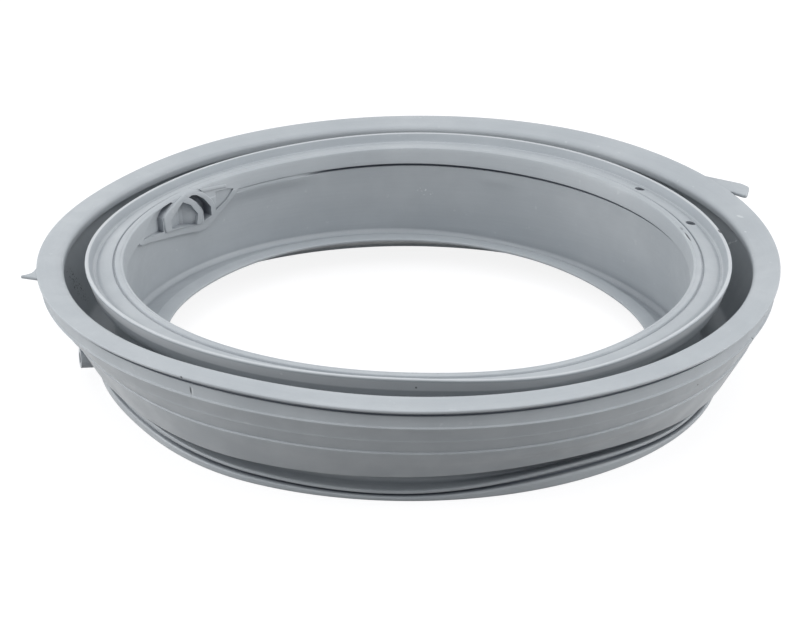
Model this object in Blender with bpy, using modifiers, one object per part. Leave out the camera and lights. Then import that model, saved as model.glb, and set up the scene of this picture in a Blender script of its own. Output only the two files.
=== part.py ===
"""Door seal of a front loading washing machine, moulded in one piece of grey rubber.

The seal lies with its front rim up, on the ring that grips the tub. Its axis is Z and the floor
is at zero. Sizes are in millimetres and are turned into metres where meshes are made. Radii are
measured from the axis, heights from the floor and angles counter clockwise from +X.
"""
import bpy
import bmesh
from math import cos, sin, hypot, pi, radians
from mathutils import Matrix, Vector

MM = 0.001
STEPS = 72
CHAMFER = 0.7

# Front rim, a flat flange that covers the edge of the cabinet's front panel
RIM_RADIUS = 195.0
RIM_WIDTH = 14.5
RIM_THICKNESS = 2.5
RIM_EDGE = 1.5
RIM_INNER_EDGE = 3.8
RIM_ROUNDING = 0.6
RIM_SLOPE = 2.4

# Panel groove under the rim, and the band below it that a clamp wire holds
GROOVE_DEPTH = 4.6
GROOVE_HEIGHT = 1.9
BAND_INSET = 3.2
BAND_HEIGHT = 6.2

# Bellows: a tapered outer wall with two ledges, a fold at its foot and the tube wall inside
WALL = 3.0
BELLOWS_DEPTH = 47.3
LEDGE_WIDTH = 0.8
LEDGE_HEIGHT = 0.6
LEDGE_PITCH = 15.4
TAPER_BREAK = 8.4
FOLD_WIDTH = 18.0
FOLD_ROUNDING = 1.0
FILLET = 2.4

# Door lip, the raised ring that the door glass closes on
CHANNEL_WIDTH = 10.6
LIP_RISE = 1.4
LIP_THICKNESS = 2.2
SEAT_WIDTH = 13.5
SEAT_DEPTH = 4.9
SEAT_RIDGE = 1.1
LIP_FOOT_DEPTH = 12.0
LIP_FOOT_WIDTH = 4.2
LIP_SLANT = 6.4
BEAD_WIDTH = 4.6
BEAD_DROP = 2.6
BEAD_GROOVE = 1.4

# Inner band that hangs from the bead, with a narrow undercut above the tube wall
BAND_INNER_HEIGHT = 8.6
BAND_LEAN = 1.9
UNDERCUT_DEPTH = 3.4
UNDERCUT_HEIGHT = 1.3
OVERHANG = 1.7

# Shelf and trough at the foot of the tube wall, and the ring that grips the tub
TUBE_DRAFT = 1.7
SHELF_WIDTH = 23.1
SHELF_FLAT = 8.4
SHELF_THICKNESS = 2.6
SHELF_EDGE = 1.5
SHELF_RISE = 0.4
TROUGH_DEPTH = 3.7
NECK_HEIGHT = 8.8
TUB_RING_HEIGHT = 7.3
TUB_RING_REACH = 10.6
TUB_FOOT_WIDTH = 3.3
TUB_GROOVE_DEPTH = 3.4
TUB_GROOVE_HEIGHT = 1.4
TUB_BEAD_HEIGHT = 2.1
TUB_RING_ROUNDING = 1.2

# Pointed fin on the rim
FIN_AZIMUTH = 207.0
FIN_REACH = 8.0
FIN_BASE = 14.6
FIN_THICKNESS = 1.8

# Hooked ear on the rim
EAR_AZIMUTH = 45.0
EAR_LENGTH = 34.0
EAR_REACH = 12.8
EAR_SLANT = 8.0
EAR_ROUNDING = 1.2
EAR_NOTCH_DEPTH = 5.4
EAR_NOTCH_WIDTH = 4.4
EAR_THICKNESS = 2.2
TAB_ROOT = 3.0

# Drain holes through the lip seat
DRAIN_AZIMUTHS = (39.2, 58.7)
DRAIN_BORE = 5.0

# Spray nozzle boss, a lozenge that hangs from the inner band into the tube
NOZZLE_AZIMUTH = 167.0
BOSS_LEFT = 48.5
BOSS_RIGHT = 45.2
BOSS_DROP = 16.0
BOSS_POINT = 18.7
BOSS_FRAME = 2.2
BOSS_ROOT = 1.5
HOOD_DROP = 3.4
HOOD_SHOULDER = 6.0
HOOD_PEAK = 4.2
HOOD_LEFT_WIDTH = 16.2
HOOD_RIGHT = 17.8
HOOD_BAR = 6.6
HOOD_WALL = 3.8
ARCH_DROP = 1.8
ARCH_HEIGHT = 10.4
ARCH_WIDTH = 7.1
ARCH_WALL = 4.9
RECESS_DEPTH = 2.2
POCKET_DEPTH = 4.4

# Hose stub in the neck
STUB_AZIMUTH = 207.0
STUB_DIAMETER = 11.0
STUB_BORE = 6.0
STUB_REACH = 19.5
STUB_BORE_DEPTH = 13.0

# Levels and radii that follow from the sizes above
NECK_LEVEL = TUB_RING_HEIGHT + NECK_HEIGHT
RIM_LEVEL = NECK_LEVEL + BELLOWS_DEPTH
RIM_UNDERSIDE = RIM_LEVEL - RIM_THICKNESS
BAND_LEVEL = RIM_UNDERSIDE - GROOVE_HEIGHT
RIM_INNER_RADIUS = RIM_RADIUS - RIM_WIDTH
LIP_RADIUS = RIM_INNER_RADIUS - CHANNEL_WIDTH
LIP_LEVEL = RIM_LEVEL + LIP_RISE
SEAT_RADIUS = LIP_RADIUS - LIP_THICKNESS
BEAD_RADIUS = SEAT_RADIUS - SEAT_WIDTH
BEAD_LEVEL = LIP_LEVEL - BEAD_DROP
MOUTH_RADIUS = BEAD_RADIUS - BEAD_WIDTH
BAND_FOOT_RADIUS = MOUTH_RADIUS - BAND_LEAN
TUBE_TOP_RADIUS = BAND_FOOT_RADIUS + OVERHANG
TUBE_RADIUS = TUBE_TOP_RADIUS + TUBE_DRAFT
TUBE_OUTER_RADIUS = TUBE_RADIUS + WALL
SKIRT_RADIUS = TUBE_OUTER_RADIUS + FOLD_WIDTH
BAND_RADIUS = RIM_RADIUS - BAND_INSET
SHELF_LEVEL = NECK_LEVEL + SHELF_RISE
TROUGH_LEVEL = SHELF_LEVEL - TROUGH_DEPTH
OPENING_RADIUS = TUBE_RADIUS - SHELF_WIDTH
UNDERBAND_LEVEL = BEAD_LEVEL - BAND_INNER_HEIGHT

GREY = (0.46, 0.49, 0.52, 1.0)


def rubber():
    """Satin grey rubber."""
    material = bpy.data.materials.new("grey_rubber")
    material.use_nodes = True
    shader = material.node_tree.nodes["Principled BSDF"]
    shader.inputs["Base Color"].default_value = GREY
    shader.inputs["Roughness"].default_value = 0.5
    shader.inputs["Metallic"].default_value = 0.0
    material.diffuse_color = GREY
    return material


def on_line(start, end, share):
    """Point at a share of the way from start to end."""
    return (start[0] + (end[0] - start[0]) * share, start[1] + (end[1] - start[1]) * share)


def pushed_in(start, end, distance):
    """The line from start to end, moved sideways towards the axis by distance."""
    along = Vector((end[0] - start[0], end[1] - start[1])).normalized()
    side = Vector((along[1], -along[0])) * distance
    return (start[0] + side[0], start[1] + side[1]), (end[0] + side[0], end[1] + side[1])


def meeting(first, second):
    """Point where two lines cross, each given by two points."""
    (ax, ay), (bx, by) = first
    (cx, cy), (dx, dy) = second
    across = (bx - ax) * (dy - cy) - (by - ay) * (dx - cx)
    share = ((cx - ax) * (dy - cy) - (cy - ay) * (dx - cx)) / across
    return on_line((ax, ay), (bx, by), share)


def taper():
    """Top and foot of the outer wall's tapered face."""
    top = (BAND_RADIUS + LEDGE_WIDTH / 2, BAND_LEVEL - BAND_HEIGHT - LEDGE_HEIGHT - CHAMFER)
    return top, (SKIRT_RADIUS, NECK_LEVEL + FOLD_ROUNDING)


def rim_outline():
    """Rim, panel groove and clamp band, from the rim's flat face down the outside."""
    root = RIM_RADIUS - GROOVE_DEPTH
    return [
        (RIM_INNER_RADIUS + RIM_SLOPE, RIM_LEVEL),
        (RIM_RADIUS - RIM_ROUNDING, RIM_LEVEL),
        (RIM_RADIUS, RIM_LEVEL - RIM_ROUNDING),
        (RIM_RADIUS - RIM_ROUNDING / 3, RIM_LEVEL - RIM_EDGE),
        (root, RIM_UNDERSIDE),
        (root, BAND_LEVEL),
        (BAND_RADIUS - CHAMFER, BAND_LEVEL),
        (BAND_RADIUS, BAND_LEVEL - CHAMFER),
        (BAND_RADIUS, BAND_LEVEL - BAND_HEIGHT),
        (BAND_RADIUS + LEDGE_WIDTH, BAND_LEVEL - BAND_HEIGHT - LEDGE_HEIGHT),
    ]


def wall_outline():
    """Tapered outer wall, which turns steeper below its second ledge, down to the fold's edge."""
    top, foot = taper()
    length = hypot(foot[0] - top[0], foot[1] - top[1])
    ledge = on_line(top, foot, (LEDGE_PITCH + TAPER_BREAK * LEDGE_WIDTH / WALL) / length)
    return [
        top,
        (ledge[0] - LEDGE_WIDTH / 2, ledge[1]),
        (ledge[0] + LEDGE_WIDTH / 2, ledge[1] - LEDGE_HEIGHT),
        foot,
        (foot[0] - FOLD_ROUNDING, NECK_LEVEL),
    ]


def tub_outline():
    """Neck, the two beads of the tub ring with the groove between them, and its narrow flat foot."""
    upper = TUBE_OUTER_RADIUS + TUB_RING_REACH - TUB_RING_ROUNDING
    lower = TUBE_OUTER_RADIUS + TUB_RING_REACH
    groove = upper - TUB_GROOVE_DEPTH
    groove_top = TUB_RING_HEIGHT - TUB_BEAD_HEIGHT
    groove_foot = groove_top - TUB_GROOVE_HEIGHT
    return [
        (TUBE_OUTER_RADIUS + FILLET / 2, NECK_LEVEL),
        (TUBE_OUTER_RADIUS, NECK_LEVEL - FILLET / 2),
        (TUBE_OUTER_RADIUS, TUB_RING_HEIGHT + FILLET / 2),
        (TUBE_OUTER_RADIUS + FILLET / 2, TUB_RING_HEIGHT),
        (upper - CHAMFER, TUB_RING_HEIGHT),
        (upper, TUB_RING_HEIGHT - TUB_BEAD_HEIGHT / 2),
        (upper - CHAMFER, groove_top),
        (groove, groove_top),
        (groove, groove_foot),
        (lower - CHAMFER, groove_foot),
        (lower, groove_foot / 2),
        (lower - TUB_RING_ROUNDING, 0.0),
        (lower - TUB_FOOT_WIDTH, 0.0),
        (lower - TUB_FOOT_WIDTH, TUB_RING_ROUNDING),
        (TUBE_RADIUS + CHAMFER, TUB_RING_HEIGHT + TUB_RING_ROUNDING),
    ]


def shelf_outline():
    """Shelf that narrows the mouth of the tub, from its underside over its edge to the trough."""
    fold = OPENING_RADIUS + SHELF_FLAT
    under = SHELF_LEVEL - SHELF_THICKNESS
    return [
        (TUBE_RADIUS - FILLET * 1.5, TROUGH_LEVEL - SHELF_THICKNESS),
        (fold + CHAMFER, under),
        (OPENING_RADIUS + SHELF_EDGE / 3, SHELF_LEVEL - SHELF_EDGE),
        (OPENING_RADIUS, SHELF_LEVEL - SHELF_EDGE / 2),
        (OPENING_RADIUS + SHELF_EDGE / 3, SHELF_LEVEL),
        (fold, SHELF_LEVEL),
        (TUBE_RADIUS - FILLET * 1.8, TROUGH_LEVEL),
        (TUBE_RADIUS - FILLET * 0.6, TROUGH_LEVEL + FILLET / 4),
        (TUBE_RADIUS, TROUGH_LEVEL + FILLET * 1.5),
    ]


def lip_outline():
    """Undercut, inner band, bead, door seat and lip, from the tube wall over to the channel."""
    seat_level = LIP_LEVEL - SEAT_DEPTH
    groove_level = BEAD_LEVEL - BEAD_GROOVE
    undercut = BAND_FOOT_RADIUS + UNDERCUT_DEPTH
    return [
        (TUBE_TOP_RADIUS, UNDERBAND_LEVEL - UNDERCUT_HEIGHT),
        (undercut, UNDERBAND_LEVEL - UNDERCUT_HEIGHT * 0.7),
        (undercut, UNDERBAND_LEVEL),
        (BAND_FOOT_RADIUS + CHAMFER, UNDERBAND_LEVEL),
        (BAND_FOOT_RADIUS, UNDERBAND_LEVEL + CHAMFER),
        (MOUTH_RADIUS - CHAMFER / 4, BEAD_LEVEL - CHAMFER),
        (MOUTH_RADIUS + CHAMFER / 2, BEAD_LEVEL),
        (BEAD_RADIUS - CHAMFER, BEAD_LEVEL),
        (BEAD_RADIUS, groove_level),
        (BEAD_RADIUS + CHAMFER, groove_level),
        (BEAD_RADIUS + CHAMFER * 1.4, groove_level + BEAD_GROOVE / 2),
        (BEAD_RADIUS + SEAT_WIDTH * 0.5, seat_level + SEAT_RIDGE * 0.8),
        (SEAT_RADIUS - 3.4 * SEAT_RIDGE, seat_level),
        (SEAT_RADIUS - 2.7 * SEAT_RIDGE, seat_level + SEAT_RIDGE),
        (SEAT_RADIUS - 1.9 * SEAT_RIDGE, seat_level + SEAT_RIDGE),
        (SEAT_RADIUS, LIP_LEVEL - CHAMFER),
        (SEAT_RADIUS + CHAMFER, LIP_LEVEL),
        (LIP_RADIUS - CHAMFER, LIP_LEVEL),
        (LIP_RADIUS, LIP_LEVEL - CHAMFER),
        (LIP_RADIUS - LIP_FOOT_WIDTH, LIP_LEVEL - LIP_FOOT_DEPTH),
        (TUBE_OUTER_RADIUS + FILLET, LIP_LEVEL - LIP_FOOT_DEPTH - LIP_SLANT),
        (TUBE_OUTER_RADIUS, LIP_LEVEL - LIP_FOOT_DEPTH - LIP_SLANT - FILLET),
    ]


def channel_outline():
    """The channel's floor and the inner face of the outer wall, back up to the rim."""
    top, foot = taper()
    inner = pushed_in(top, foot, WALL)
    floor_level = NECK_LEVEL + WALL
    corner = meeting(inner, ((0.0, floor_level), (1.0, floor_level)))
    ledge_level = BAND_LEVEL - BAND_HEIGHT
    shoulder = meeting(inner, ((0.0, ledge_level), (1.0, ledge_level)))
    collar = RIM_RADIUS - GROOVE_DEPTH - WALL
    return [
        (TUBE_OUTER_RADIUS, floor_level + FILLET),
        (TUBE_OUTER_RADIUS + FILLET, floor_level),
        (corner[0] - FILLET / 2, floor_level),
        on_line(corner, shoulder, FILLET / 2 / (ledge_level - floor_level)),
        shoulder,
        (collar, BAND_LEVEL),
        (collar, RIM_UNDERSIDE - CHAMFER),
        (RIM_INNER_RADIUS + RIM_ROUNDING, RIM_LEVEL - RIM_INNER_EDGE),
        (RIM_INNER_RADIUS, RIM_LEVEL - RIM_SLOPE),
        (RIM_INNER_RADIUS + RIM_SLOPE / 3, RIM_LEVEL - RIM_SLOPE / 3),
    ]


def section():
    """The ring's whole section, down its outer side and back up its inner side."""
    outer = rim_outline() + wall_outline() + tub_outline()
    return outer + shelf_outline() + lip_outline() + channel_outline()


def linked(name, mesh, collection):
    """New object in a collection."""
    thing = bpy.data.objects.new(name, mesh)
    collection.objects.link(thing)
    return thing


def turned_ring(collection):
    """The seal's body: its section turned about Z."""
    points = section()
    mesh = bpy.data.meshes.new("door_seal")
    corners = [(radius * MM, 0.0, height * MM) for radius, height in points]
    edges = [(i, (i + 1) % len(corners)) for i in range(len(corners))]
    mesh.from_pydata(corners, edges, [])
    ring = linked("door_seal", mesh, collection)
    screw = ring.modifiers.new("turn", "SCREW")
    screw.axis = "Z"
    screw.angle = 2 * pi
    screw.steps = STEPS
    screw.render_steps = STEPS
    screw.use_merge_vertices = True
    screw.merge_threshold = 0.00001
    screw.use_smooth_shade = False
    return ring


def guide(name, mesh, collection):
    """A mesh that only cuts or joins the ring, hidden from the render."""
    thing = linked(name, mesh, collection)
    thing.hide_render = True
    thing.display_type = "WIRE"
    return thing


def face_out(bm):
    """Make a closed mesh's faces point out."""
    bmesh.ops.recalc_face_normals(bm, faces=bm.faces)
    if bm.calc_volume(signed=True) < 0:
        bmesh.ops.reverse_faces(bm, faces=bm.faces)


def flat_plate(name, outline, low, high, azimuth, collection):
    """Plate lying in the rim's plane. Its outline is (outwards, sideways) about an azimuth."""
    bm = bmesh.new()
    turn = Matrix.Rotation(radians(azimuth), 4, "Z")
    corners = [bm.verts.new(turn @ Vector((x * MM, y * MM, low * MM))) for x, y in outline]
    face = bm.faces.new(corners)
    raised = bmesh.ops.extrude_face_region(bm, geom=[face])
    lift = [item for item in raised["geom"] if isinstance(item, bmesh.types.BMVert)]
    bmesh.ops.translate(bm, verts=lift, vec=(0.0, 0.0, (high - low) * MM))
    face_out(bm)
    mesh = bpy.data.meshes.new(name)
    bm.to_mesh(mesh)
    bm.free()
    return guide(name, mesh, collection)


def wrapped_plate(name, outline, near, far, collection):
    """Plate bent round the axis, between two radii. Its outline is (right, height) about the nozzle."""
    per_degree = radians(1.0) * BAND_FOOT_RADIUS
    strip = 360.0 / STEPS * per_degree
    bm = bmesh.new()
    face = bm.faces.new([bm.verts.new((x, y, 0.0)) for x, y in outline])
    face.normal_update()
    left = min(x for x, _ in outline)
    right = max(x for x, _ in outline)
    cut = (int(left / strip) - 1) * strip
    while cut < right:
        if cut > left:
            everything = bm.verts[:] + bm.edges[:] + bm.faces[:]
            bmesh.ops.bisect_plane(bm, geom=everything, plane_co=(cut, 0, 0), plane_no=(1, 0, 0))
        cut += strip
    raised = bmesh.ops.extrude_face_region(bm, geom=bm.faces[:])
    lift = [item for item in raised["geom"] if isinstance(item, bmesh.types.BMVert)]
    bmesh.ops.translate(bm, verts=lift, vec=(0.0, 0.0, 1.0))
    for vert in bm.verts:
        radius = near + (far - near) * vert.co.z
        angle = radians(NOZZLE_AZIMUTH - vert.co.x / per_degree)
        vert.co = Vector((radius * cos(angle), radius * sin(angle), vert.co.y)) * MM
    face_out(bm)
    mesh = bpy.data.meshes.new(name)
    bm.to_mesh(mesh)
    bm.free()
    return guide(name, mesh, collection)


def rod(name, diameter, start, end, collection):
    """Cylinder between two points."""
    start, end = Vector(start) * MM, Vector(end) * MM
    along = end - start
    place = Matrix.Translation((start + end) / 2) @ along.to_track_quat("Z", "Y").to_matrix().to_4x4()
    bm = bmesh.new()
    bmesh.ops.create_cone(bm, cap_ends=True, segments=24, radius1=diameter / 2 * MM,
                          radius2=diameter / 2 * MM, depth=along.length, matrix=place)
    mesh = bpy.data.meshes.new(name)
    bm.to_mesh(mesh)
    bm.free()
    return guide(name, mesh, collection)


def apply_boolean(ring, tool, operation):
    """Join or cut the ring with a guide."""
    step = ring.modifiers.new(tool.name, "BOOLEAN")
    step.operation = operation
    step.solver = "EXACT"
    step.object = tool


def fin_outline():
    """Pointed fin with a long hollow flank and a short steep one, rooted in the rim."""
    long_side = -FIN_BASE * 0.75
    short_side = FIN_BASE * 0.25
    return [
        (RIM_RADIUS - TAB_ROOT, long_side),
        (RIM_RADIUS - FIN_REACH * 0.05, long_side),
        (RIM_RADIUS + FIN_REACH * 0.12, long_side * 0.52),
        (RIM_RADIUS + FIN_REACH * 0.38, long_side * 0.24),
        (RIM_RADIUS + FIN_REACH * 0.95, -FIN_REACH * 0.05),
        (RIM_RADIUS + FIN_REACH, FIN_REACH * 0.01),
        (RIM_RADIUS + FIN_REACH * 0.94, FIN_REACH * 0.06),
        (RIM_RADIUS - FIN_REACH * 0.03, short_side),
        (RIM_RADIUS - TAB_ROOT, short_side),
    ]


def ear_outline():
    """Ear that leaves the rim at a shallow angle and ends in a blunt hook over a notch."""
    tip = RIM_RADIUS + EAR_REACH
    hook = RIM_RADIUS + EAR_NOTCH_WIDTH
    tail = RIM_RADIUS * cos(EAR_LENGTH / RIM_RADIUS)
    return [
        (RIM_RADIUS - TAB_ROOT, EAR_NOTCH_DEPTH),
        (RIM_RADIUS + EAR_NOTCH_WIDTH / 5, EAR_NOTCH_DEPTH),
        (hook, -EAR_ROUNDING * 0.8),
        (hook + EAR_ROUNDING * 0.8, -EAR_ROUNDING * 1.6),
        (hook + EAR_ROUNDING * 2.1, -EAR_ROUNDING * 1.1),
        (tip - EAR_ROUNDING / 2, EAR_SLANT - EAR_ROUNDING * 1.5),
        (tip, EAR_SLANT),
        (tip - EAR_ROUNDING / 4, EAR_SLANT + EAR_ROUNDING * 1.7),
        (tip - EAR_ROUNDING * 1.3, EAR_SLANT + EAR_ROUNDING * 4.9),
        (tail, EAR_LENGTH),
        (tail - TAB_ROOT, EAR_LENGTH),
    ]


def boss_foot(x):
    """Height of the boss's lower edge, which falls from both ends to its lowest corner."""
    if x < BOSS_POINT:
        share = (x + BOSS_LEFT) / (BOSS_POINT + BOSS_LEFT)
    else:
        share = (BOSS_RIGHT - x) / (BOSS_RIGHT - BOSS_POINT)
    return UNDERBAND_LEVEL + CHAMFER - BOSS_DROP * share


def boss_floor(x):
    """Height of the foot of the boss's recesses, a frame's width above its lower edge."""
    return boss_foot(x) + BOSS_FRAME * 1.3


def boss_outline():
    """Lozenge that hangs from the inner band, its lowest corner right of the middle."""
    top = UNDERBAND_LEVEL + BOSS_FRAME
    return [
        (-BOSS_LEFT, top),
        (-BOSS_LEFT, boss_foot(-BOSS_LEFT)),
        (BOSS_POINT, boss_foot(BOSS_POINT)),
        (BOSS_RIGHT, boss_foot(BOSS_RIGHT)),
        (BOSS_RIGHT, top),
    ]


def hood_pocket():
    """Pocket under the hood: a low left side, a peak, and a long fall to the right."""
    left = HOOD_BAR - HOOD_LEFT_WIDTH
    right = HOOD_RIGHT - HOOD_WALL
    peak = BEAD_LEVEL - HOOD_DROP
    return [
        (left, peak - HOOD_SHOULDER),
        (left, boss_floor(left)),
        (right, boss_floor(right)),
        (right, peak - HOOD_SHOULDER * 1.7),
        ((HOOD_PEAK + right) / 2, peak - HOOD_SHOULDER * 0.55),
        (HOOD_PEAK, peak),
    ]


def arch_pocket():
    """Slot between the hood's right wall and the arch, bent like a banana."""
    left = HOOD_RIGHT + HOOD_WALL / 3
    right = HOOD_RIGHT + ARCH_WIDTH
    top = BEAD_LEVEL - ARCH_DROP
    return [
        (HOOD_PEAK + HOOD_WALL, top),
        (HOOD_RIGHT - HOOD_WALL, top - ARCH_HEIGHT * 0.4),
        (left, top - ARCH_HEIGHT * 1.1),
        (left, boss_floor(left)),
        (right, boss_floor(right)),
        (right, top - ARCH_HEIGHT),
        (HOOD_RIGHT + ARCH_WIDTH / 3, top - ARCH_HEIGHT * 0.44),
        (HOOD_RIGHT - HOOD_WALL * 0.8, top - ARCH_HEIGHT * 0.08),
    ]


def left_recess(deep):
    """Shallow cell left of the hood, or the deep slot along its top."""
    top = BEAD_LEVEL - ARCH_DROP
    foot = top - HOOD_SHOULDER * 0.9
    outer = -HOOD_LEFT_WIDTH * 1.85
    points = [
        (outer, top - HOOD_SHOULDER * 0.35),
        (outer * 0.7, top),
        (-HOOD_BAR, top),
        (-HOOD_LEFT_WIDTH, top - HOOD_SHOULDER * 0.65),
    ]
    if deep:
        return points + [(-HOOD_LEFT_WIDTH, foot), (outer, foot + HOOD_SHOULDER * 0.35)]
    low = outer * 1.25
    return points + [(-HOOD_LEFT_WIDTH, boss_floor(-HOOD_LEFT_WIDTH)), (low, boss_floor(low))]


def right_recess():
    """Shallow cell right of the arch."""
    left = HOOD_RIGHT + ARCH_WIDTH + ARCH_WALL
    right = BOSS_RIGHT - HOOD_WALL
    top = BEAD_LEVEL - HOOD_DROP - ARCH_DROP
    return [
        (left, top),
        (left, boss_floor(left)),
        (right, boss_floor(right)),
        (right, top - BOSS_FRAME / 4),
    ]


def build_nozzle(ring, guides):
    """Boss with a recess at each end, a slot, and the hood's and the arch's pockets between them."""
    near = BAND_FOOT_RADIUS
    back = TUBE_RADIUS + BOSS_ROOT
    apply_boolean(ring, wrapped_plate("nozzle_boss", boss_outline(), near, back, guides), "UNION")
    for name, outline, depth in (("left_recess", left_recess(False), RECESS_DEPTH),
                                 ("left_slot", left_recess(True), POCKET_DEPTH),
                                 ("hood_pocket", hood_pocket(), POCKET_DEPTH),
                                 ("arch_pocket", arch_pocket(), POCKET_DEPTH),
                                 ("right_recess", right_recess(), RECESS_DEPTH)):
        tool = wrapped_plate(name, outline, near - WALL, near + depth, guides)
        apply_boolean(ring, tool, "DIFFERENCE")


def build_rim_tabs(ring, guides):
    """Fin and ear, thinner than the rim and level with the middle of its edge."""
    middle = RIM_LEVEL - RIM_THICKNESS / 2
    fin = flat_plate("fin", fin_outline(), middle - FIN_THICKNESS / 2, middle + FIN_THICKNESS / 2,
                     FIN_AZIMUTH, guides)
    apply_boolean(ring, fin, "UNION")
    ear = flat_plate("ear", ear_outline(), middle - EAR_THICKNESS / 2, middle + EAR_THICKNESS / 2,
                     EAR_AZIMUTH, guides)
    apply_boolean(ring, ear, "UNION")


def build_drains(ring, guides):
    """Holes through the seat into the channel."""
    radius = BEAD_RADIUS + SEAT_WIDTH * 0.51
    mouth = LIP_LEVEL + WALL
    foot = LIP_LEVEL - LIP_FOOT_DEPTH - LIP_SLANT - FILLET - WALL
    for number, azimuth in enumerate(DRAIN_AZIMUTHS):
        x = radius * cos(radians(azimuth))
        y = radius * sin(radians(azimuth))
        hole = rod(f"drain_{number}", DRAIN_BORE, (x, y, mouth), (x, y, foot), guides)
        apply_boolean(ring, hole, "DIFFERENCE")


def build_stub(ring, guides):
    """Short hose stub that points outwards from the neck, bored from its end."""
    level = TUB_RING_HEIGHT + NECK_HEIGHT / 2
    turn = Matrix.Rotation(radians(STUB_AZIMUTH), 3, "Z")
    start = turn @ Vector((TUBE_OUTER_RADIUS - WALL / 2, 0.0, level))
    end = turn @ Vector((TUBE_OUTER_RADIUS + STUB_REACH, 0.0, level))
    stub = rod("hose_stub", STUB_DIAMETER, start, end, guides)
    apply_boolean(ring, stub, "UNION")
    mouth = turn @ Vector((TUBE_OUTER_RADIUS + STUB_REACH + WALL, 0.0, level))
    root = turn @ Vector((TUBE_OUTER_RADIUS + STUB_REACH - STUB_BORE_DEPTH, 0.0, level))
    bore = rod("stub_bore", STUB_BORE, root, mouth, guides)
    apply_boolean(ring, bore, "DIFFERENCE")


def main():
    for thing in list(bpy.data.objects):
        bpy.data.objects.remove(thing, do_unlink=True)
    parts = bpy.data.collections.new("door_seal")
    guides = bpy.data.collections.new("guides")
    for collection in (parts, guides):
        bpy.context.scene.collection.children.link(collection)
    ring = turned_ring(parts)
    ring.data.materials.append(rubber())
    build_rim_tabs(ring, guides)
    build_nozzle(ring, guides)
    build_drains(ring, guides)
    build_stub(ring, guides)


main()
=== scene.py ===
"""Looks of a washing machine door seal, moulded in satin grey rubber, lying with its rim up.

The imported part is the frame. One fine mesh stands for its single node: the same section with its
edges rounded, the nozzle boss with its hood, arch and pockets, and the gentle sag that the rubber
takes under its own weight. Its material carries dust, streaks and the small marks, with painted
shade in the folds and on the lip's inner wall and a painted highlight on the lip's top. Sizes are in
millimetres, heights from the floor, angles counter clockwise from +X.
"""
from math import atan2, cos, hypot, pi, radians, sin, tan

import bmesh
import bpy
import numpy as np
from mathutils import Euler, Matrix, Vector
from mathutils.bvhtree import BVHTree

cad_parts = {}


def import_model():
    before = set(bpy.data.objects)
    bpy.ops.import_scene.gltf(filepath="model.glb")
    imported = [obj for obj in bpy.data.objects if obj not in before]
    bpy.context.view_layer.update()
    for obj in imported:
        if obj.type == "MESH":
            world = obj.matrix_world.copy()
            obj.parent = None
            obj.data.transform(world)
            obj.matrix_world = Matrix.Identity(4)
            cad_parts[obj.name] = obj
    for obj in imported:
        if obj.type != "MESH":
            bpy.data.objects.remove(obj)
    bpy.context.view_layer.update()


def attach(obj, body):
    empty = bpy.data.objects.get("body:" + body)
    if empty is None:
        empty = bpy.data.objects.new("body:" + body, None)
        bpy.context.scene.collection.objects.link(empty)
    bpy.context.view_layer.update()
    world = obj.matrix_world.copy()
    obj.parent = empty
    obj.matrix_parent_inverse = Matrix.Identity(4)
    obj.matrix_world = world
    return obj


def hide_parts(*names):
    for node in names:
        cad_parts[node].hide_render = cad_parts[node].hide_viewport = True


MM = 0.001

# Photo's frame and camera, fitted to the concentric edges
IMAGE_SIZE = (800, 640)
TARGET_PIXEL = (408.4, 255.0)
CAMERA_AZIMUTH = -70.0
CAMERA_ELEVATION = 23.05
CAMERA_DISTANCE = 2367.0
CAMERA_ROLL = 0.2
FOCAL_PIXELS = 4509.0
SENSOR = 36.0

# Front rim, panel groove and clamp band
RIM_RADIUS = 195.0
RIM_INNER_RADIUS = 180.5
RIM_LEVEL = 63.4
RIM_THICKNESS = 2.5
RIM_EDGE = 1.5
RIM_INNER_EDGE = 5.2
RIM_ROLL = 4.8
GROOVE_DEPTH = 4.6
BAND_RADIUS = 191.8
BAND_LEVEL = 59.0
BAND_HEIGHT = 6.2

# Bellows
WALL = 3.0
SKIRT_RADIUS = 172.1
NECK_LEVEL = 16.1
TAPER_TOP = (192.3, 51.5)
LEDGE = (183.1, 37.5)
LEDGE_WIDTH = 0.8
RIDGE_PLACE = 9.0
RIDGE_HEIGHT = 0.2
RIDGE_HALF_WIDTH = 0.5

# Door lip, seat and bead
LIP_RADIUS = 169.9
LIP_LEVEL = 64.8
SEAT_RADIUS = 167.7
SEAT_LEVEL = 59.9
BEAD_RADIUS = 154.2
BEAD_LEVEL = 62.2
MOUTH_RADIUS = 149.6
BAND_FOOT_RADIUS = 147.7
UNDERBAND_LEVEL = 53.6
UNDERCUT_RADIUS = 151.4
TUBE_TOP_RADIUS = 149.4
TUBE_RADIUS = 151.1
TUBE_OUTER_RADIUS = 154.1

# Shelf and tub ring
SHELF_LEVEL = 16.5
SHELF_EDGE = 1.5
SHELF_FLAT = 8.4
TROUGH_LEVEL = 12.8
OPENING_RADIUS = 128.0
TUB_RING_HEIGHT = 7.3
FOOT_RADIUS = 161.4
UPPER_BEAD_RADIUS = 163.5
LOWER_BEAD_RADIUS = 164.7
TUB_GROOVE_RADIUS = 160.1

# Fineness of the mesh
ROW_PITCH = 2.2
COLUMN_PITCH = 1.5
ARC_PITCH = 22.0

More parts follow.
